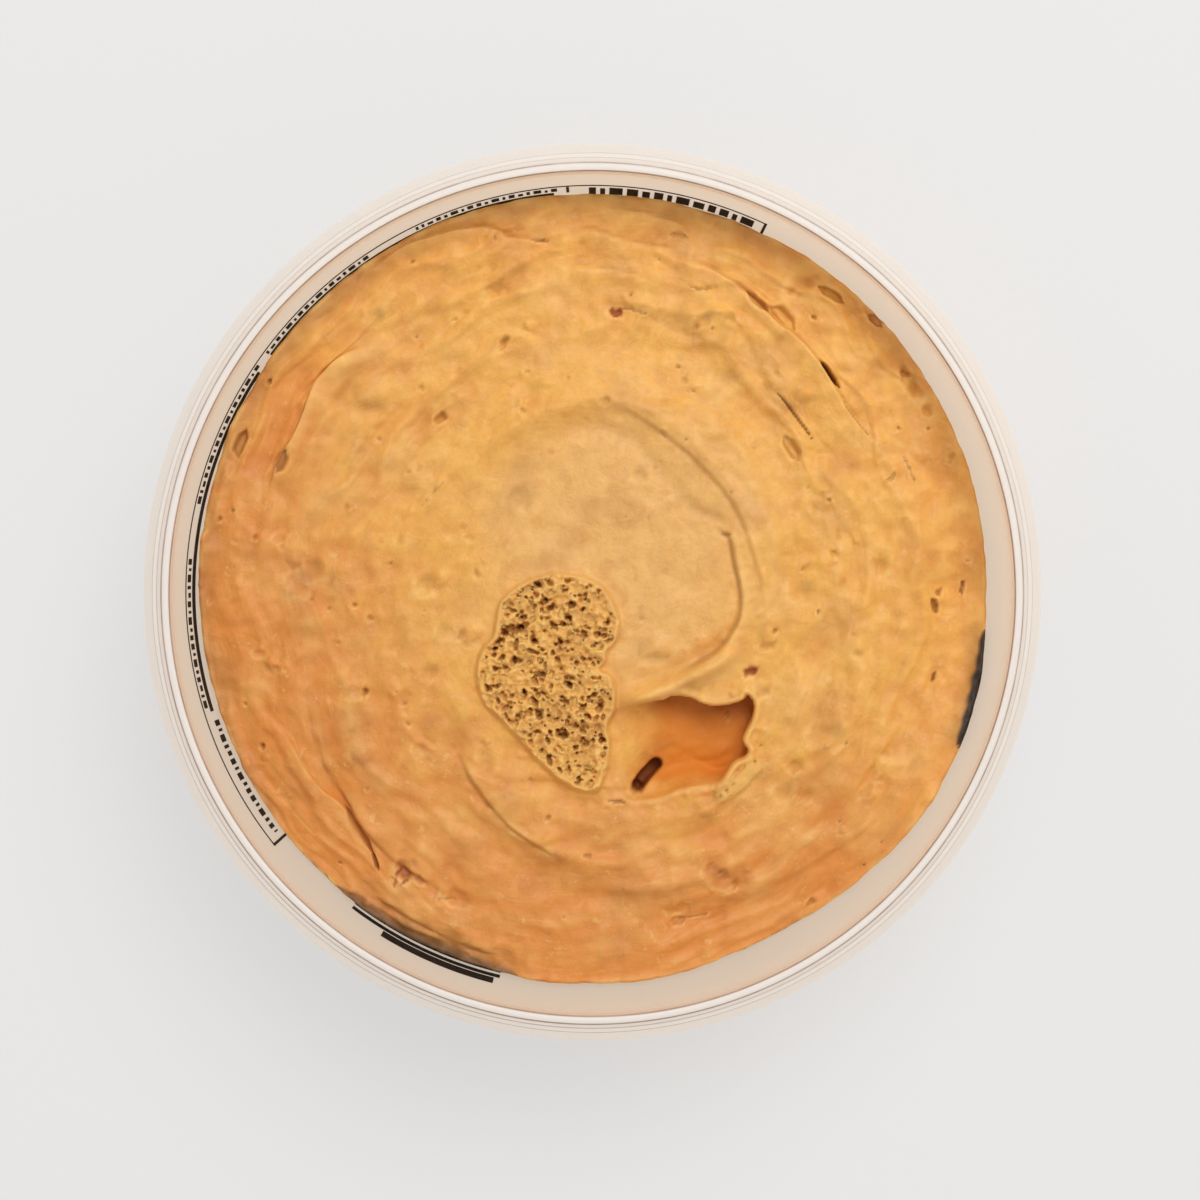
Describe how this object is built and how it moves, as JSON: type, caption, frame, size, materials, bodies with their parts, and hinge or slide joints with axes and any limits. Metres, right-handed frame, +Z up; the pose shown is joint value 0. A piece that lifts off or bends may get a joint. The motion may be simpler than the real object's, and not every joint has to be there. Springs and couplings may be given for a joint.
{
  "type": "cheese spread tub",
  "caption": "Round milky plastic tub with a stepped lid skirt, lid off, filled with a swirled orange cheese spread.",
  "frame": {"origin": "centre of the foot ring's underside", "axes": "+Z up along the tub's axis, +Y towards the side where the spread stands highest on the wall"},
  "size_m": [0.1172, 0.1172, 0.046],
  "materials": {
    "tub_plastic": "milky natural polypropylene, soft sheen",
    "cheese_spread": "soft moist processed cheese, satin",
    "print_ink": "flat black dry-offset ink"
  },
  "bodies": {
    "root": {"tub": "tub_plastic", "cheese": "cheese_spread"}
  },
  "joints": []
}
